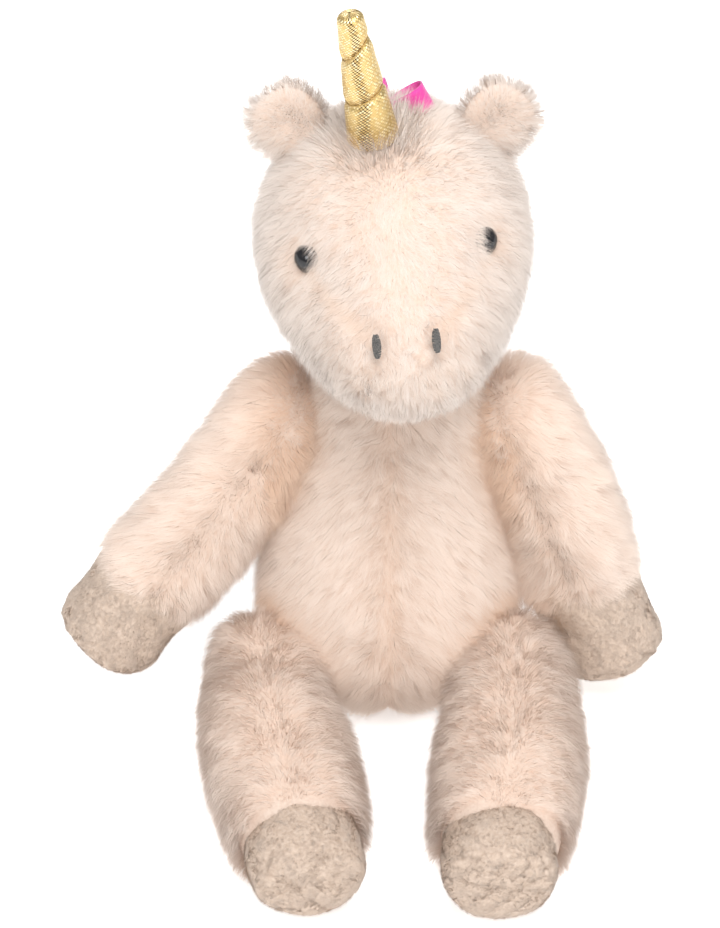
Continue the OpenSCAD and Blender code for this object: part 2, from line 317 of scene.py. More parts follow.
def speckled_material(name, light, dark, roughness, grain, edge, bumps, detail=3.0, **inputs):
    """A material that a fine grain varies from dark to light, with bumps of the same grain."""
    material = new_material(name, light, roughness, **inputs)
    tree = material.node_tree
    shader = tree.nodes["Principled BSDF"]
    speck = object_noise(tree, grain, detail)
    tree.links.new(ramp(tree, speck, [(edge, dark), (1 - edge, light)]), shader.inputs["Base Color"])
    bump(tree, shader, speck, *bumps)
    return material


def backing_material(name, light, dark):
    """The knitted backing cloth that shows between tufts."""
    return speckled_material(name, light, dark, 0.95, 900, 0.35, (0.4, 0.4 * MM))


def thread_material(name, light, dark):
    return speckled_material(name, light, dark, 0.55, 2600, 0.35, (0.5, 0.1 * MM), 2, Sheen_Weight=0.3)


def moulded_material(name, light, dark, roughness, grain=700):
    return speckled_material(name, light, dark, roughness, grain, 0.3, (0.08, 0.05 * MM))


def foil_material():
    """Gold foil dots in a slanting lattice on a glossy cloth, each dot with a painted glint, and the cloth
    dark between them except in painted reflection bands.
    """
    material = new_material("foil", (0.8, 0.55, 0.2), 0.3, Metallic=0.8)
    tree = material.node_tree
    shader = tree.nodes["Principled BSDF"]
    place = add(tree, "ShaderNodeUVMap", uv_map="cloth")
    split = add(tree, "ShaderNodeSeparateXYZ")
    tree.links.new(place.outputs[0], split.inputs[0])
    ways = [maths(tree, "MULTIPLY", maths(tree, way, split.outputs[0], split.outputs[1]), 0.85)
            for way in ("ADD", "SUBTRACT")]
    waves = [maths(tree, "SINE", maths(tree, "MULTIPLY", way, math.pi)) for way in ways]
    dots = maths(tree, "ABSOLUTE", maths(tree, "MULTIPLY", *waves))
    cell = add(tree, "ShaderNodeCombineXYZ")
    for k in (0, 1):
        tree.links.new(maths(tree, "FLOOR", ways[k]), cell.inputs[k])
    chance = add(tree, "ShaderNodeTexWhiteNoise", noise_dimensions="2D")
    tree.links.new(cell.outputs[0], chance.inputs["Vector"])
    painted_reflection = add(tree, "ShaderNodeAttribute", attribute_name="painted_reflection")
    # painted glints: each dot's gold is lighter or darker at random, as if its facet caught more or less
    # light
    gold_with_painted_glints = ramp(tree, chance.outputs["Value"], [(0.0, (0.60, 0.42, 0.16)), (0.5, (0.80, 0.62, 0.29)),
                                                (1.0, (0.98, 0.86, 0.54))])
    # painted reflection: the cloth between the dots is near black, painted lighter in the reflection bands
    gap = ramp(tree, painted_reflection.outputs["Fac"], [(0.0, (0.07, 0.03, 0.01)), (0.6, (0.30, 0.18, 0.06)),
                                            (1.0, (0.55, 0.38, 0.15))])
    dot = ramp(tree, dots, [(0.22, (0, 0, 0)), (0.42, (1, 1, 1))])
    tree.links.new(mixed(tree, dot, gap, gold_with_painted_glints), shader.inputs["Base Color"])
    tree.links.new(ramp(tree, dots, [(0.2, (0.30, 0.30, 0.30)), (0.4, (0.42, 0.42, 0.42))]),
                   shader.inputs["Roughness"])
    bump(tree, shader, maths(tree, "MULTIPLY", dots, chance.outputs["Value"]), 0.6, 0.3 * MM)
    return material


def ribbon_material():
    """Woven satin ribbon: fine cross ribs, and folds that catch a pale orchid light."""
    material = new_material("ribbon", (0.85, 0.03, 0.33), 0.38, Sheen_Weight=0.5, Sheen_Roughness=0.3)
    tree = material.node_tree
    shader = tree.nodes["Principled BSDF"]
    place = add(tree, "ShaderNodeUVMap", uv_map="cloth")
    split = add(tree, "ShaderNodeSeparateXYZ")
    tree.links.new(place.outputs[0], split.inputs[0])
    ribs = maths(tree, "SINE", maths(tree, "MULTIPLY", split.outputs[1], 2 * math.pi / 0.55))
    threads = maths(tree, "SINE", maths(tree, "MULTIPLY", split.outputs[0], 2 * math.pi / 0.35))
    weave = maths(tree, "MULTIPLY", ribs, threads)
    light = maths(tree, "ADD", maths(tree, "MULTIPLY", weave, 0.25), 0.5)
    colour = ramp(tree, light, [(0.2, (0.50, 0.01, 0.22)), (0.5, (0.80, 0.03, 0.36)),
                                (0.85, (0.93, 0.22, 0.58))])
    tree.links.new(colour, shader.inputs["Base Color"])
    bump(tree, shader, weave, 0.5, 0.12 * MM)
    return material


BODY_FUR = fur_material("body_fur", (0.61, 0.46, 0.37), (0.66, 0.555, 0.485), (0.69, 0.62, 0.565), 0.10)
HEAD_FUR = fur_material("head_fur", (0.58, 0.47, 0.40), (0.62, 0.555, 0.51), (0.66, 0.61, 0.57), 0.10)
HOOF_PILE = fur_material("hoof_pile", (0.44, 0.35, 0.29), (0.53, 0.44, 0.37), (0.61, 0.52, 0.45), 0.04)
BACKING = backing_material("backing", (0.64, 0.52, 0.44), (0.58, 0.45, 0.37))
HOOF_BACKING = backing_material("hoof_backing", (0.56, 0.45, 0.37), (0.48, 0.37, 0.29))
FOIL = foil_material()
RIBBON = ribbon_material()
NOSE_THREAD = thread_material("nose_thread", (0.13, 0.12, 0.11), (0.02, 0.02, 0.02))
GOLD_THREAD = thread_material("gold_thread", (0.55, 0.36, 0.10), (0.30, 0.18, 0.04))
EYE = moulded_material("eye", (0.012, 0.012, 0.014), (0.006, 0.006, 0.008), 0.12)
WASHER = moulded_material("washer", (0.86, 0.86, 0.85), (0.78, 0.78, 0.77), 0.5)
PELLETS = moulded_material("pellets", (0.82, 0.82, 0.80), (0.66, 0.66, 0.65), 0.45, 300)

# -------------------------------------------- meshes


def make_object(name, points, faces, material):
    mesh = bpy.data.meshes.new(name)
    mesh.from_pydata([tuple(p) for p in points], [], faces)
    mesh.update()
    mesh.shade_smooth()
    mesh.materials.append(material)
    piece = bpy.data.objects.new(name, mesh)
    bpy.context.scene.collection.objects.link(piece)
    return piece


def points_of(mesh):
    flat = np.empty(len(mesh.vertices) * 3, np.float32)
    mesh.vertices.foreach_get("co", flat)
    return flat.reshape(-1, 3).astype(float)


def normals_of(mesh):
    flat = np.empty(len(mesh.vertices) * 3, np.float32)
    mesh.vertex_normals.foreach_get("vector", flat)
    return flat.reshape(-1, 3).astype(float)


def move_points(mesh, points):
    mesh.vertices.foreach_set("co", np.asarray(points, np.float32).ravel())
    mesh.update()


def turned(outline, place, spokes=48):
    """Points and faces of a closed solid turned about a place's z, its outline running pole to pole."""
    angles = np.linspace(0, 2 * math.pi, spokes, endpoint=False)
    rings = [place.out([[r * math.cos(a), r * math.sin(a), z] for a in angles]) for r, z in outline[1:-1]]
    poles = [place.out([0, 0, outline[0][1]]), place.out([0, 0, outline[-1][1]])]
    points = np.concatenate([np.concatenate(rings), poles])
    count, faces = len(rings), []
    for j in range(spokes):
        k = (j + 1) % spokes
        faces.append((count * spokes, k, j))
        faces.append((count * spokes + 1, (count - 1) * spokes + j, (count - 1) * spokes + k))
        faces += [(i * spokes + j, i * spokes + k, (i + 1) * spokes + k, (i + 1) * spokes + j)
                  for i in range(count - 1)]
    return points, faces


def arc(r, z, start, end, n=12):
    return [(max(0.0, r * math.sin(a)), z + r * math.cos(a)) for a in np.linspace(start, end, n)]


def capsule(r1, r2, reach):
    """Two balls on one axis joined by their common tangent, from the far pole to the near one."""
    meet = math.acos((r1 - r2) / reach)
    return arc(r2, reach, 0, meet) + arc(r1, 0, meet, math.pi)


def spindle(root, mid, end, reach, n=14):
    """A limb that is rounded at both ends and fullest near its middle."""
    side = []
    for u in np.linspace(1, 0, n):
        r = root + (end - root) * u + 4 * (mid - (root + end) / 2) * u * (1 - u)
        side.append((r, reach * u))
    return arc(end, reach, 0, math.pi / 2, 8)[:-1] + side + arc(root, 0, math.pi / 2, math.pi, 8)[1:]


def skin(name, outline, place, shape, material=BACKING, voxel=3.5 * MM):
    """A closed skin, remeshed evenly and then shaped by a function of its points."""
    points, faces = turned(outline, place)
    piece = make_object(name, points, faces, material)
    remesh = piece.modifiers.new("even", "REMESH")
    remesh.mode = "VOXEL"
    remesh.voxel_size = voxel
    apply_modifiers(piece)
    move_points(piece.data, shape(points_of(piece.data)))
    return piece


def apply_modifiers(piece):
    graph = bpy.context.evaluated_depsgraph_get()
    mesh = bpy.data.meshes.new_from_object(piece.evaluated_get(graph))
    old = piece.data
    piece.modifiers.clear()
    piece.data = mesh
    bpy.data.meshes.remove(old)
    mesh.name = piece.name
    mesh.shade_smooth()


def plump(piece, seam, cap):
    """Blows a skin up as cloth under pressure, held where seam is 1, no point moving further than cap."""
    start, frames = points_of(piece.data), 20
    group = piece.vertex_groups.new(name="seam")
    weights = np.clip(seam(start), 0, 1)
    for i in np.nonzero(weights > 0.02)[0]:
        group.add([int(i)], float(weights[i]), "REPLACE")
    cloth = piece.modifiers.new("cloth", "CLOTH")
    cloth.settings.quality = 5
    cloth.settings.mass = 0.25
    cloth.settings.tension_stiffness = 12
    cloth.settings.compression_stiffness = 12
    cloth.settings.bending_stiffness = 0.4
    cloth.settings.use_pressure = True
    cloth.settings.uniform_pressure_force = 4.0
    cloth.settings.effector_weights.gravity = 0
    cloth.settings.vertex_group_mass = "seam"
    cloth.point_cache.frame_start, cloth.point_cache.frame_end = 1, frames
    for number in range(1, frames + 1):
        bpy.context.scene.frame_set(number)
    held = piece.evaluated_get(bpy.context.evaluated_depsgraph_get()).to_mesh()
    moved = points_of(held) - start
    piece.modifiers.clear()
    piece.vertex_groups.clear()
    bpy.context.scene.frame_set(1)
    far = np.linalg.norm(moved, axis=1, keepdims=True)
    move_points(piece.data, start + moved * np.minimum(1, cap / np.maximum(far, 1e-9)))
    divide = piece.modifiers.new("fine", "SUBSURF")
    divide.levels = divide.render_levels = 1
    apply_modifiers(piece)


# -------------------------------------------- fur


def spread_over(piece, count, rng):
    """Points spread evenly over a skin, with its smooth normals there."""
    mesh = piece.data
    mesh.calc_loop_triangles()
    tri = np.empty(len(mesh.loop_triangles) * 3, np.int32)
    mesh.loop_triangles.foreach_get("vertices", tri)
    tri = tri.reshape(-1, 3)
    p, n = points_of(mesh), normals_of(mesh)
    a, b, c = p[tri[:, 0]], p[tri[:, 1]], p[tri[:, 2]]
    size = np.linalg.norm(np.cross(b - a, c - a), axis=1)
    pick = rng.choice(len(tri), count, p=size / size.sum())
    u, v = rng.random((2, count, 1))
    u, v = np.where(u + v > 1, 1 - u, u), np.where(u + v > 1, 1 - v, v)
    weights = np.stack([1 - u - v, u, v], 1)
    return (p[tri[pick]] * weights).sum(1), unit((n[tri[pick]] * weights).sum(1))


class Coat:
    """How a pile grows: its length and width, how densely it stands, how it leans and how it gathers."""

    def __init__(self, length, width, per_mm2, tuft, tuft_r, lean, gather=(0.15, 0.8), joints=2):
        self.length, self.width, self.per_mm2, self.tuft, self.tuft_r = length, width, per_mm2, tuft, tuft_r
        self.lean, self.gather, self.joints = lean, gather, joints


def build_strands(name, points, pattern, place_along, shade, painted_shade_weight, facing, material):
    """One mesh of many alike strands. Its colours hold the place along a strand, its tuft, and the painted
    shade it takes in creases and seams.
    """
    n, each = points.shape[:2]
    faces = (np.arange(n)[:, None] * each + pattern).ravel()
    mesh = bpy.data.meshes.new(name)
    mesh.vertices.add(n * each)
    mesh.vertices.foreach_set("co", points.astype(np.float32).ravel())
    mesh.loops.add(len(faces))
    mesh.loops.foreach_set("vertex_index", faces.astype(np.int32))
    mesh.polygons.add(len(faces) // 3)
    mesh.polygons.foreach_set("loop_start", np.arange(0, len(faces), 3, dtype=np.int32))
    mesh.update(calc_edges=True)
    colour = np.ones((n, each, 4), np.float32)
    colour[:, :, 0] = place_along
    colour[:, :, 1] = shade[:, None]
    colour[:, :, 2] = painted_shade_weight[:, None]
    layer = mesh.attributes.new("strand", "FLOAT_COLOR", "POINT")
    layer.data.foreach_set("color", colour.ravel())
    mesh.shade_smooth()
    mesh.normals_split_custom_set_from_vertices(np.repeat(facing, each, axis=0))
    mesh.materials.append(material)
    print(name, n, "strands,", len(faces) // 3, "triangles")
    return mesh


def comb(root, normal, flow, mess, seed):
    """The way each tuft lies: along flow, with more waves in it where the pile is rough."""
    way = unit(flow(root))
    way = way + noise(root, 20 * MM, seed + 1) * (0.10 + 0.5 * mess[:, None])
    way = way + noise(root, 8 * MM, seed + 2) * (0.06 + 0.8 * mess[:, None])
    return unit(way - (way * normal).sum(1, keepdims=True) * normal)


def grow(name, base, body, material, coat, flow, keep, seed, length=None, rough=None, upright=None):
    """Grows a pile as real strands on the part of a skin where keep holds."""
    rng = np.random.default_rng(seed)
    area = sum(f.area for f in base.data.polygons) / MM ** 2
    root, normal = spread_over(base, int(area * coat.per_mm2 * DENSITY / coat.tuft), rng)
    kept = keep(root)
    root, normal = root[kept], normal[kept]
    mess = np.full(len(root), 0.25) if rough is None else rough(root)
    lift = np.zeros(len(root)) if upright is None else upright(root)
    along = comb(root, normal, flow, mess, seed)
    reach = coat.length * rng.uniform(0.85, 1.1, len(root)) * (1 if length is None else length(root))
    # each tuft's random tone, and the painted shade it takes in creases and seams
    shade, painted_shade_weight = 1 - (0.3 + 0.7 * mess) * rng.random(len(root)), painted_shade(root, body)
    root, normal, along, reach, mess, lift, shade, painted_shade_weight = (
        np.repeat(v, coat.tuft, axis=0) for v in (root, normal, along, reach, mess, lift, shade, painted_shade_weight))
    n = len(root)
    cross = np.cross(normal, along)
    angle, radius = rng.uniform(0, 2 * math.pi, (n, 1)), np.sqrt(rng.random((n, 1))) * coat.tuft_r
    off = (along * np.cos(angle) + cross * np.sin(angle)) * radius
    reach = (reach * rng.uniform(0.7, 1.1, n))[:, None]
    low, high = (bend * (1 - lift)[:, None] for bend in coat.lean)
    stray = rng.normal(size=(n, 3)) * (0.10 + 0.14 * mess[:, None])
    first = unit(normal * np.cos(low) + along * np.sin(low) + stray * 0.6)
    last = unit(normal * np.cos(high) + along * np.sin(high) + stray)
    gather = coat.gather[0] + (coat.gather[1] - coat.gather[0]) * mess[:, None]
    start = root + off - normal * 0.6 * MM
    bend = start + first * reach * 0.5 - off * gather * 0.45
    tip = bend + last * reach * 0.5 - off * gather * 0.55
    heading = unit(tip - start)
    wide = unit(np.cross(heading, normal) + rng.normal(size=(n, 3)) * 0.35) * coat.width / 2
    if coat.joints == 2:
        points = np.stack([start - wide, start + wide, bend - wide * 0.8, bend + wide * 0.8, tip], 1)
        pattern, place_along = np.array([0, 1, 3, 0, 3, 2, 2, 3, 4]), np.array([0, 0, 0.5, 0.5, 1])
    else:
        points = np.stack([start - wide, start + wide, tip], 1)
        pattern, place_along = np.array([0, 1, 2]), np.array([0, 0, 1])
    points[:, :, 2] = np.maximum(points[:, :, 2], 0.4 * MM)
    facing = unit(unit(normal - (normal * heading).sum(1, keepdims=True) * heading) * 0.4 + normal)
    mesh = build_strands(name, points, pattern, place_along, shade, painted_shade_weight, facing, material)
    piece = bpy.data.objects.new(name, mesh)
    bpy.context.scene.collection.objects.link(piece)
    piece.visible_shadow = coat is SHORT
    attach(piece, body)


def painted_shade(p, own):
    """How much painted shade a point takes, as if it lay in shadow: 1 where it lies against another part of
    the toy or in a seam, falling to 0 in the open.
    """
    parts = {"torso": ((0, 0, BELLY_Z), (0, 0, CHEST_Z), BELLY_R - 2 * MM),
             "head": (SKULL.origin, FACE.out((0, 0, FACE_REACH)), MUZZLE_R + 6 * MM)}
    for side in SIDES:
        limbs = (("arm", ARMS[side], ARM_R, ARM_SEAM), ("leg", LEGS[side], LEG_R - 3 * MM, LEG_SEAM))
        for kind, place, r, reach in limbs:
            parts[f"{kind}_{side}"] = (place.origin, place.origin + place.axes[2] * reach, r)
    gaps = [near_line(p, a, b) - r for name, (a, b, r) in parts.items() if name != own]
    painted_shade_weight = np.exp(-np.clip(np.min(gaps, axis=0), 0, None) / (5 * MM))
    # painted shade along the seams from the eyes to the nostrils, and round the eyes
    if own == "head":
        for side in SIDES:
            gap = near_line(FACE.into(p), FACE.into(EYES[side]) * 0.96, FACE.into(NOSTRILS[side]) * 0.98)
            painted_shade_weight = np.maximum(painted_shade_weight, 0.7 * np.exp(-(gap / (3 * MM)) ** 2))
            gap = np.linalg.norm(p - EYES[side], axis=1)
            painted_shade_weight = np.maximum(painted_shade_weight, 0.8 * np.exp(-(gap / (6 * MM)) ** 2))
    # painted shade down the torso's front seam
    if own == "torso":
        painted_shade_weight = np.maximum(painted_shade_weight, 0.3 * np.exp(-(p[:, 0] / (3 * MM)) ** 2) * (p[:, 1] < 0))
    return painted_shade_weight


LONG = Coat(10.5 * MM, 0.12 * MM, 6.6, 9, 1.9 * MM, lean=(0.4, 1.0))
FACE_COAT = Coat(10 * MM, 0.115 * MM, 6.6, 9, 1.8 * MM, lean=(0.35, 0.95))
EAR_COAT = Coat(7.5 * MM, 0.12 * MM, 8, 7, 1.3 * MM, lean=(0.3, 0.85))
SHORT = Coat(2.0 * MM, 0.13 * MM, 18, 8, 0.6 * MM, lean=(0.4, 1.1), gather=(0.2, 0.5), joints=1)

# -------------------------------------------- torso


def near_line(p, a, b):
    """Distance of points from the stretch between two points."""
    a, b = np.asarray(a, float), np.asarray(b, float)
    t = np.clip((p - a) @ (b - a) / ((b - a) @ (b - a)), 0, 1)
    return np.linalg.norm(p - a - t[:, None] * (b - a), axis=1)


def clear_of_limbs(p):
    """Draws the torso's skin in towards its axis where an arm or a leg is sewn on."""
    core = np.stack([np.zeros(len(p)), np.zeros(len(p)), np.clip(p[:, 2], 20 * MM, 140 * MM)], 1)
    limbs = [(ARMS[s], ARM_R - PILE, ARM_CUFF[s]) for s in SIDES]
    limbs += [(LEGS[s], HIP_R - PILE, LEG_CUFF) for s in SIDES]
    for place, r, reach in limbs:
        for _ in range(14):
            gap = near_line(p, place.origin, place.origin + place.axes[2] * reach) - r - 0.8 * MM
            p = np.where((gap < 0)[:, None], p + (core - p) * 0.07, p)
    return p


def torso_shape(p):
    p = p + noise(p, 60 * MM, 5) * 0.8 * MM
    p[:, 2] = np.maximum(p[:, 2], 1.2 * MM)
    groove = np.exp(-(p[:, 0] / (2.2 * MM)) ** 2) * smooth(-p[:, 1], 5 * MM, 20 * MM)
    p[:, 1] += groove * 1.0 * MM
    return clear_of_limbs(raised_neck(p))


def raised_neck(p):
    """Raises the torso's top to a short neck, hollowed under the head with room for its nod."""
    neck = np.linalg.norm(p[:, :2] - joint_place("head_nod")[:2], axis=1)
    under = SKULL.origin[2] - np.sqrt((SKULL_R - PILE) ** 2 - np.minimum(neck, 30 * MM) ** 2) - 6 * MM
    share = (1 - smooth(neck, 23 * MM, 33 * MM)) * smooth(p[:, 2], 118 * MM, 132 * MM)
    p[:, 2] += np.clip(under - p[:, 2], 0, None) * share
    return p


def torso_flow(p):
    side = np.tanh(p[:, 0] / (3 * MM))
    front = smooth(-p[:, 1], -10 * MM, 10 * MM)
    out = side * (0.9 * front * np.exp(-np.abs(p[:, 0]) / (22 * MM)) + 0.15)
    return np.stack([out, np.zeros(len(p)), -0.75 + 0 * out], 1)


def torso_rough(p):
    seam = np.exp(-(p[:, 0] / (10 * MM)) ** 2) * smooth(-p[:, 1], 0, 20 * MM)
    return 0.12 + 0.55 * seam


def make_torso():
    reach = CHEST_Z - BELLY_Z
    inset = PILE + 1.5 * MM
    outline = [(r, z + BELLY_Z) for r, z in capsule(BELLY_R - inset, CHEST_R - inset, reach)]
    upright = Place((0, 0, 0), (1, 0, 0), (0, 1, 0), (0, 0, 1))
    base = skin("torso_skin", outline, upright, torso_shape)
    plump(base, lambda p: np.exp(-(p[:, 0] / (4 * MM)) ** 2) + (p[:, 2] < 3 * MM), 2 * MM)
    p = points_of(base.data)
    p[:, 2] = np.maximum(p[:, 2], 0.8 * MM)
    move_points(base.data, clear_of_limbs(p))
    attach(base, "torso")
    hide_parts("body_front_left", "body_front_right", "body_back", "body_stuffing")

    def shorter(p):
        seam = np.exp(-(p[:, 0] / (4 * MM)) ** 2) * (p[:, 1] < 0)
        return (1 - 0.35 * seam) * (0.35 + 0.65 * smooth(p[:, 2], 2 * MM, 14 * MM))

    panels = {"front_left": lambda p: (p[:, 1] < 4 * MM) & (p[:, 0] < 0) & (p[:, 2] > 2 * MM),
              "front_right": lambda p: (p[:, 1] < 4 * MM) & (p[:, 0] >= 0) & (p[:, 2] > 2 * MM),
              "back": lambda p: (p[:, 1] >= 4 * MM) & (p[:, 2] > 2 * MM)}
    for k, (name, keep) in enumerate(panels.items()):
        grow("torso_fur_" + name, base, "torso", BODY_FUR, LONG, torso_flow, keep, 20 + k,
             shorter, torso_rough)


# -------------------------------------------- head


def head_shape(p):
    q = FACE.into(p)
    q[:, 0] *= 1 + 0.06 * smooth(q[:, 2], 8 * MM, 26 * MM)
    for s in SIDES:
        eye, nostril = FACE.into(EYES[s]), FACE.into(NOSTRILS[s])
        furrow = near_line(q, eye * 0.96, nostril * 0.98)
        q = q - unit(q) * (np.exp(-(furrow / (4 * MM)) ** 2) * 1.6 * MM)[:, None]
        pit = np.linalg.norm(q - eye, axis=1)
        q = q - unit(q) * (np.exp(-(pit / (7 * MM)) ** 2) * 2.0 * MM)[:, None]
    return FACE.out(q) + noise(p, 45 * MM, 9) * 0.7 * MM


def head_flow(p):
    """The fur falls away from the horn on every side, and parts round the eyes."""
    q = SKULL.into(p)
    base = SKULL.into(SKULL.origin + horn_axis() * (SKULL_R - 4 * MM))
    way = unit(q - base) + np.array([0, 0, -1.2])
    for s in SIDES:
        off = q - SKULL.into(EYES[s])
        near = np.exp(-(np.linalg.norm(off, axis=1) / (6.5 * MM)) ** 2)[:, None]
        lids = np.stack([-np.sign(off[:, 0]), 0 * off[:, 0], -0.5 + 0 * off[:, 0]], 1)
        way = way * (1 - near) + lids * near
    return SKULL.turn(way)


def eye_gap(p):
    """Distance from the nearer eye, 1 on the upright oval that the fur leaves bare."""
    q = SKULL.into(p)
    gaps = [(q - SKULL.into(EYES[s])) / np.array([1.9 * MM, 3.9 * MM, 3.9 * MM]) for s in SIDES]
    return np.min([np.linalg.norm(g, axis=1) for g in gaps], axis=0)


def head_length(p):
    size = 0.55 + 0.45 * smooth(eye_gap(p), 1, 4)
    size *= 1.3 - 0.3 * smooth(horn_gap(p), 12 * MM, 22 * MM)
    for s in SIDES:
        nostril = np.linalg.norm(p - NOSTRILS[s], axis=1)
        size *= 0.3 + 0.7 * smooth(nostril, 2.5 * MM, 9 * MM)
    nose = smooth(FACE.into(p)[:, 2], 40 * MM, 70 * MM)
    return size * (1 - 0.35 * nose)


def head_rough(p):
    q = FACE.into(p)
    bridge = np.exp(-((np.abs(q[:, 0]) - 12 * MM) / (7 * MM)) ** 2) * (q[:, 1] > 0)
    nose = smooth(q[:, 2], 45 * MM, 70 * MM) * 0.4
    return np.clip(0.12 + 0.4 * bridge + nose, 0, 1)


def head_upright(p):
    """The fur stands up round the horn and on the crown."""
    crown = smooth(SKULL.into(p)[:, 2], 34 * MM, 50 * MM) * 0.3
    return np.maximum(crown, 0.75 * (1 - smooth(horn_gap(p), 12 * MM, 22 * MM)))


def horn_gap(p):
    return near_line(p, *horn_line())


def horn_line():
    """The two ends of the horn's axis."""
    z = horn_axis()
    return SKULL.origin + z * 30 * MM, SKULL.origin + z * 70 * MM


def horn_axis():
    return SKULL.turn((-math.sin(HORN_SIDE) * math.cos(HORN_LEAN), -math.sin(HORN_LEAN),
                       math.cos(HORN_SIDE) * math.cos(HORN_LEAN)))


def make_head():
    outline = capsule(SKULL_R - PILE - 1 * MM, MUZZLE_R - PILE * 0.85, FACE_REACH)
    base = skin("head_skin", outline, FACE, head_shape)
    plump(base, lambda p: sum(np.exp(-(np.linalg.norm(p - EYES[s], axis=1) / (7 * MM)) ** 2) for s in SIDES)
          + 0.5 * np.exp(-((np.abs(FACE.into(p)[:, 0]) - 16 * MM) / (3 * MM)) ** 2), 2 * MM)
    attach(base, "head")
    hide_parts("head_side_left", "head_side_right", "head_gusset", "head_stuffing")

    def free(p):
        return (eye_gap(p) > 1) & (horn_gap(p) > 8 * MM)

    def sector(p):
        q = FACE.into(p)
        return np.degrees(np.arctan2(q[:, 0], q[:, 1]))

    seam = 32
    panels = {"gusset": lambda p: free(p) & (np.abs(sector(p)) <= seam),
              "side_left": lambda p: free(p) & (sector(p) < -seam),
              "side_right": lambda p: free(p) & (sector(p) > seam)}
    for k, (name, keep) in enumerate(panels.items()):
        grow("head_fur_" + name, base, "head", HEAD_FUR, FACE_COAT, head_flow, keep, 40 + k,
             head_length, head_rough, head_upright)


# -------------------------------------------- ears


def make_ear(side):
    place = EARS[side]
    high, low = EAR_R - 0.5 * MM, -10 * MM
    wide, mid, half = EAR_R - 2.5 * MM, (high + low) / 2, (high - low) / 2
    turns = np.linspace(0, math.pi, 16)[1:-1]
    rim = [(wide * math.sin(u) ** 0.75, mid + half * math.cos(u)) for u in turns]
    outline = [(0, high)] + rim + [(0, low)]

    def flatten(p):
        q = place.into(p)
        q[:, 1] *= 0.34
        bowl = np.exp(-(q[:, 0] / (6 * MM)) ** 2 - ((q[:, 2] - 3 * MM) / (8 * MM)) ** 2)
        q[:, 1] += bowl * (q[:, 1] < 0) * 2.0 * MM
        return place.out(q)

    base = skin("ear_skin_" + side, outline, place, flatten, voxel=2 * MM)
    plump(base, lambda p: np.exp(-((np.abs(place.into(p)[:, 1])) / (0.8 * MM)) ** 2), 0.8 * MM)
    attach(base, "ear_" + side)
    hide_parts("ear_front_" + side, "ear_rear_" + side)

    def flow(p):
        q = place.into(p)
        way = [q[:, 0] * 60, 0.2 * np.sign(q[:, 1]), 0.5 + 20 * (q[:, 2] - 4 * MM)]
        return place.turn(np.stack(way, 1))

    def shorter(p):
        q = place.into(p)
        return 1 - 0.45 * np.exp(-(q[:, 0] / (5 * MM)) ** 2) * (q[:, 1] < 0)

    for k, (name, keep) in enumerate({"front": lambda p: place.into(p)[:, 1] < 0,
                                      "rear": lambda p: place.into(p)[:, 1] >= 0}.items()):
        grow(f"ear_fur_{name}_{side}", base, "ear_" + side, HEAD_FUR, EAR_COAT, flow, keep,
             60 + k + 4 * (side == "left"), shorter)


# -------------------------------------------- arms and legs


def make_limb(kind, side, place, radii, cuff, bow, seed):
    """The pelt of an arm or a leg, two panels that meet in a front seam, bowed outward by its stuffing."""
    body = f"{kind}_{side}"
    outer = SIDES[side] * np.sign(place.axes[0][0])

    def shape(p):
        q = place.into(p)
        u = np.clip(q[:, 2] / cuff, 0, 1)
        q[:, 0] += outer * bow * np.sin(math.pi * u)
        groove = np.exp(-(q[:, 0] / (2.5 * MM)) ** 2) * (q[:, 1] < 0)
        q[:, 1] += groove * 1.2 * MM
        return place.out(q) + noise(p, 34 * MM, seed) * 0.9 * MM

    base = skin(f"{body}_skin", spindle(*(r - PILE for r in radii), cuff - 4 * MM), place, shape)
    plump(base, lambda p: np.exp(-(place.into(p)[:, 0] / (3 * MM)) ** 2) * (place.into(p)[:, 1] < 0)
          + (place.into(p)[:, 2] > cuff - 6 * MM), 1.8 * MM)
    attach(base, body)
    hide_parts(f"{kind}_outer_{side}", f"{kind}_inner_{side}", f"{kind}_stuffing_{side}")

    def flow(p):
        q = place.into(p)
        front = smooth(-q[:, 1], -6 * MM, 6 * MM)
        away = np.sign(q[:, 0]) * (0.2 + 0.8 * front * np.exp(-np.abs(q[:, 0]) / (15 * MM)))
        return place.turn(np.stack([away, 0 * away, 0.55 + 0 * away], 1))

    def shorter(p):
        q = place.into(p)
        front = np.exp(-(q[:, 0] / (8 * MM)) ** 2) * (q[:, 1] < 0)
        return 1 - 0.45 * front

    def rough(p):
        q = place.into(p)
        return 0.12 + 0.6 * np.exp(-(q[:, 0] / (9 * MM)) ** 2) * smooth(-q[:, 1], -4 * MM, 4 * MM)

    def upright(p):
        return 0.35 * np.exp(-(place.into(p)[:, 0] / (8 * MM)) ** 2) * (place.into(p)[:, 1] < 0)

    def furred(p):
        return place.into(p)[:, 2] < cuff + 2 * MM

    panels = {"outer": lambda p: (np.sign(place.into(p)[:, 0]) == outer) & furred(p),
              "inner": lambda p: (np.sign(place.into(p)[:, 0]) != outer) & furred(p)}
    for k, (name, keep) in enumerate(panels.items()):
        grow(f"{kind}_fur_{name}_{side}", base, body, BODY_FUR, LONG, flow, keep, seed + k,
             shorter, rough, upright)


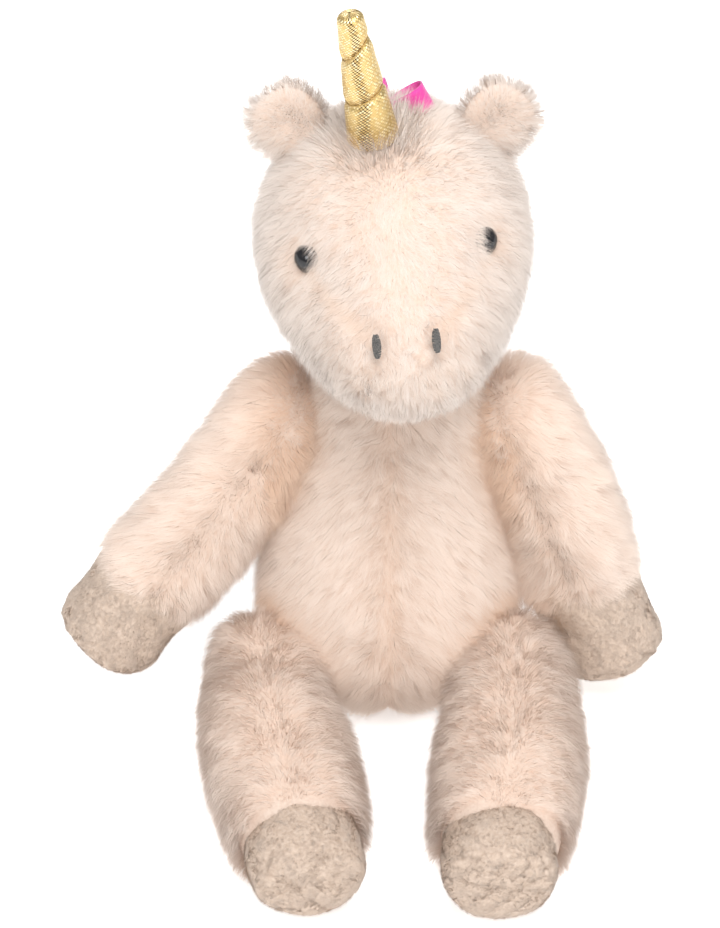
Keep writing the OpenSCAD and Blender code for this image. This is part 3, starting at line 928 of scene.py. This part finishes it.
def make_hoof(kind, limb, side, place, cuff, seam, seed):
    """A short-pile hoof: a cuff that comes out of the long fur, and a sole sewn in at its end."""
    body = f"{limb}_{side}"
    r = HOOF_R - 2.2 * MM
    crown = seam + 5.6 * MM
    outline = [(0, crown)] + [(r * math.sin(a) ** 0.8, seam + (crown - seam) * math.cos(a))
                              for a in np.linspace(0.12, math.pi / 2, 10)]
    outline += [(r * 0.985, seam - 1.2 * MM), (r, seam - 6 * MM), (r, cuff + 6 * MM)]
    outline += [(r - 2 * MM, cuff - 2 * MM), (r - 6 * MM, cuff - 6 * MM), (0, cuff - 7 * MM)]

    def stitched(p):
        q = place.into(p)
        seam_line = np.exp(-((q[:, 2] - seam) / (1.3 * MM)) ** 2)
        rim = smooth(np.linalg.norm(q[:, :2], axis=1), 12 * MM, 20 * MM)
        q[:, :2] *= (1 - 0.055 * seam_line * rim)[:, None]
        return place.out(q) + noise(p, 22 * MM, seed) * 0.5 * MM

    base = skin(f"{kind}_skin_{side}", outline, place, stitched, HOOF_BACKING, 2.4 * MM)
    plump(base, lambda p: np.exp(-((place.into(p)[:, 2] - seam) / (2 * MM)) ** 2)
          + (place.into(p)[:, 2] < cuff), 1.0 * MM)
    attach(base, body)
    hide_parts(f"{kind}_cuff_{side}", f"{kind}_sole_{side}", f"{kind}_filling_{side}")

    def flow(p):
        q = place.into(p)
        spread = place.turn(np.stack([q[:, 0] * 25, q[:, 1] * 25, 0.5 + 0 * q[:, 0]], 1))
        return spread + noise(p, 9 * MM, seed + 3) * 0.5

    def rough(p):
        return np.full(len(p), 0.3)

    def high(p):
        return place.into(p)[:, 2]

    panels = {"cuff": lambda p: (high(p) <= seam) & (high(p) > cuff - 3 * MM),
              "sole": lambda p: high(p) > seam}
    for k, (name, keep) in enumerate(panels.items()):
        grow(f"{kind}_{name}_pile_{side}", base, body, HOOF_PILE, SHORT, flow, keep, seed + k,
             None, rough)


# -------------------------------------------- horn, nostrils and ribbons

# Where each turn of thread crosses the horn's axis, as a share of its length, and its slant in degrees
PINCHES = ((0.36, 18), (0.73, 36))


def make_horn():
    """A stuffed cone of foil cloth that two turns of thread pinch into three lobes."""
    z = horn_axis()
    x = unit(SKULL.axes[0] - (SKULL.axes[0] @ z) * z)
    place = Place(SKULL.origin + z * (SKULL_R - 4.5 * MM), x, np.cross(z, x), z)
    rings, spokes = 90, 72
    points, where, painted_reflection = [], [], []
    for i in range(rings):
        u = i / (rings - 1)
        s = HORN_LEN * (1 - (1 - u) ** 1.15)
        r = horn_radius(s)
        for j in range(spokes + 1):
            a = 2 * math.pi * j / spokes
            pinch = 0
            for level, tilt in PINCHES:
                line = HORN_LEN * level + r * math.cos(a) * math.tan(math.radians(tilt))
                pinch += math.exp(-((s - line) / (1.5 * MM)) ** 2)
            near = min(abs(s - HORN_LEN * level) for level, _ in PINCHES)
            wrinkle = 0.18 * MM * math.sin(9 * a + 40 * u) * math.exp(-near / (4 * MM))
            rr = max(0.0, r + 0.35 * MM - 1.1 * MM * min(1, pinch) + wrinkle * (r > 2 * MM))
            points.append(place.out((rr * math.cos(a), rr * math.sin(a), s)))
            where.append((a * (HORN_R + HORN_TIP_R) / 2 / MM * (0.55 + 0.45 * (1 - u)), s / MM))
            # painted reflection: light bands round the horn, shifted on each lobe, where the gaps between
            # the foil dots are painted as if they mirrored the lamps
            lobe = sum(s > HORN_LEN * level for level, _ in PINCHES)
            band = abs(math.sin(1.5 * (a + math.pi / 2 + 0.22 - 0.12 * lobe) + 0.15 * math.sin(14 * u)))
            painted_reflection.append(smooth(band, 0.18, 0.55))
    row = spokes + 1
    faces = [(i * row + j, i * row + j + 1, (i + 1) * row + j + 1, (i + 1) * row + j)
             for i in range(rings - 1) for j in range(spokes)]
    horn = make_object("horn_foil", points, faces, FOIL)
    cloth_map(horn, where)
    layer = horn.data.attributes.new("painted_reflection", "FLOAT", "POINT")
    layer.data.foreach_set("value", np.array(painted_reflection, np.float32))
    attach(horn, "head")
    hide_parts("horn_cover", "horn_stuffing")
    make_horn_thread(place)


def horn_radius(s):
    """The cone's radius at a distance from its base, rounded off at the tip."""
    top = HORN_LEN - HORN_TIP_R * 0.6
    if s > top:
        return HORN_TIP_R * math.sqrt(max(0.0, 1 - ((s - top) / (HORN_LEN - top)) ** 2))
    return HORN_TIP_R + (HORN_R - HORN_TIP_R) * (1 - s / top)


def make_horn_thread(place):
    """Two turns of twisted thread, pulled into the horn's pinches."""
    points, faces, around, turns = [], [], 6, 72
    for level, tilt in PINCHES:
        for i in range(turns):
            a = 2 * math.pi * i / turns
            s = HORN_LEN * level
            for _ in range(3):
                s = HORN_LEN * level + horn_radius(s) * math.cos(a) * math.tan(math.radians(tilt))
            r = horn_radius(s) - 0.55 * MM
            for b in np.linspace(0, 2 * math.pi, around, endpoint=False):
                rr = r + (0.34 + 0.05 * math.sin(12 * a)) * MM * math.cos(b)
                points.append(place.out((rr * math.cos(a), rr * math.sin(a), s + 0.34 * MM * math.sin(b))))
        first = len(points) - turns * around
        for i in range(turns):
            here, there = first + i * around, first + (i + 1) % turns * around
            faces += [(here + b, here + (b + 1) % around, there + (b + 1) % around, there + b)
                      for b in range(around)]
    thread = make_object("horn_stitches", points, faces, GOLD_THREAD)
    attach(thread, "head")
    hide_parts("horn_thread")


def cloth_map(piece, where):
    """A UV map in millimetres of cloth, from each point's place on it."""
    layer = piece.data.uv_layers.new(name="cloth")
    index = np.empty(len(piece.data.loops), np.int32)
    piece.data.loops.foreach_get("vertex_index", index)
    layer.data.foreach_set("uv", np.array(where, np.float32)[index].ravel())


def make_nostril(side):
    """Satin stitches side by side, in an upright oval on the muzzle."""
    centre = NOSTRILS[side]
    muzzle = FACE.out((0, 0, FACE_REACH))
    out = unit(centre - muzzle)
    down = unit(np.cross(out, SKULL.axes[0]))
    if down @ SKULL.axes[2] > 0:
        down = -down
    across = np.cross(down, out)
    rng = np.random.default_rng(90 + SIDES[side])
    points, faces = [], []
    stitches, bits, around = 19, 8, 6
    tall, wide, thick = 4.2 * MM, 1.3 * MM, 0.3 * MM
    for i in range(stitches):
        t = (i + 0.5) / stitches * 2 - 1
        half = wide * math.sqrt(1 - t * t) + thick
        slant = rng.uniform(-0.15, 0.15)
        ring = []
        for k in range(bits + 1):
            s = k / bits * 2 - 1
            bulge = 1.0 * MM * math.sqrt(max(0.0, 1 - (s * half / (3.4 * MM)) ** 2))
            lift = bulge - 0.9 * MM * (abs(s) > 0.99) - thick
            core = centre + across * s * half + down * (t * tall + slant * s * half) + out * lift
            ring.append(len(points))
            for a in np.linspace(0, 2 * math.pi, around, endpoint=False):
                points.append(core + (down * math.cos(a) + out * math.sin(a)) * thick)
        for here, there in zip(ring, ring[1:]):
            faces += [(here + a, here + (a + 1) % around, there + (a + 1) % around, there + a)
                      for a in range(around)]
    nostril = make_object("nostril_stitches_" + side, points, faces, NOSE_THREAD)
    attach(nostril, "head")
    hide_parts("nostril_" + side)


def ribbon(name, line, facing, body, width=RIBBON_W, replaces=()):
    """A strip of ribbon along a line, with its way across at each point, its cloth map and its flat size."""
    line, across = np.array(line), unit(facing)
    step = np.concatenate([[0], np.cumsum(np.linalg.norm(np.diff(line, axis=0), axis=1))])
    columns = 6
    points, where = [], []
    for k in range(len(line)):
        for c in range(columns + 1):
            s = c / columns - 0.5
            points.append(line[k] + across[k] * s * width)
            where.append((s * width / MM, step[k] / MM))
    row = columns + 1
    faces = [(i * row + c, i * row + c + 1, (i + 1) * row + c + 1, (i + 1) * row + c)
             for i in range(len(line) - 1) for c in range(columns)]
    piece = make_object(name, points, faces, RIBBON)
    cloth_map(piece, where)
    thick = piece.modifiers.new("thick", "SOLIDIFY")
    thick.thickness = 0.35 * MM
    thick.offset = 0
    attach(piece, body)
    if replaces:
        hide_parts(*replaces)


def make_mane():
    """Ribbon loops that stand in a row behind the horn and down the back of the head."""
    side, up, back = SKULL.axes[0], SKULL.axes[2], SKULL.axes[1]
    leans = (66, -8, 10, -8, 10)
    tape = [SKULL.origin + (up * math.cos(a) + back * math.sin(a)) * (SKULL_R - 3.5 * MM)
            for a in np.radians(np.linspace(14, 94, 40))]
    ribbon("mane_tape", tape, np.tile(side, (40, 1)), "head", replaces=("mane_ribbon",))
    for i in range(5):
        a = math.radians(16 + 17 * i)
        out = up * math.cos(a) + back * math.sin(a)
        ahead = up * math.sin(a) - back * math.cos(a)
        tilt, fall = math.radians(leans[i]), math.radians(0 if i == 0 else 50)
        rise = out * math.cos(fall) - ahead * math.sin(fall)
        top = rise * math.cos(tilt) + side * math.sin(tilt)
        wide = side * math.cos(tilt) - rise * math.sin(tilt)
        ahead = np.cross(wide, top)
        depth, shift = (6 * MM, 3 * MM) if i == 0 else (5 * MM, 0)
        root = SKULL.origin + out * (SKULL_R - depth) + side * shift
        line, across = [], []
        for t in np.linspace(0, 2 * math.pi, 44):
            high = 7.8 * MM * (1 - math.cos(t))
            far = 6.2 * MM * math.sin(t) * (0.35 + 0.65 * (1 - math.cos(t)) / 2)
            line.append(root + top * high - ahead * far)
            across.append(wide + ahead * 0.25 * math.sin(t))
        ribbon(f"mane_loop_{i}", line, across, "head")


def make_tail():
    """Ribbon ends that hang from one root at the back."""
    root = joint_place("tail_lift")
    for i in (-1, 0, 1):
        line, across = [], []
        lean = math.radians(18 + 3 * i)
        for t in np.linspace(0, 1, 40):
            wave = 1.6 * MM * math.sin(7 * t + 2 * i)
            down = TAIL_LEN * t
            line.append(root + np.array([3.2 * MM * i * (0.6 + t) + wave * 0.6,
                                         math.sin(lean) * down + 1.6 * MM * i + wave * 0.4,
                                         -math.cos(lean) * down + 1 * MM]))
            twist = 0.35 * math.sin(4 * t + i)
            across.append((math.cos(twist), math.sin(twist), 0))
        stands_for = ("tail_ribbon",) if i == 0 else ()
        ribbon(f"tail_ribbon_{i + 1}", line, across, "tail", replaces=stands_for)


# -------------------------------------------- what the CAD already has in its true shape


def dress_nodes():
    kept = {"eye_left": EYE, "eye_right": EYE, "eye_washer_left": WASHER, "eye_washer_right": WASHER,
            "pellet_bag": PELLETS, "neck_seam": BACKING}
    for name, material in kept.items():
        mesh = frame["nodes"][name].data
        mesh.materials.clear()
        mesh.materials.append(material)


# -------------------------------------------- everything

make_camera()
make_stage()
make_torso()
make_head()
for s in SIDES:
    make_ear(s)
    seed = 10 * (s == "left")
    make_limb("arm", s, ARMS[s], ARM_RADII, ARM_CUFF[s], ARM_BOW[s], 100 + seed)
    make_limb("leg", s, LEGS[s], LEG_RADII, LEG_CUFF, LEG_BOW, 140 + seed)
    make_hoof("hand", "arm", s, ARMS[s], ARM_CUFF[s], ARM_SEAM, 180 + seed)
    make_hoof("foot", "leg", s, LEGS[s], LEG_CUFF, LEG_SEAM, 220 + seed)
    make_nostril(s)
make_horn()
make_mane()
make_tail()
dress_nodes()
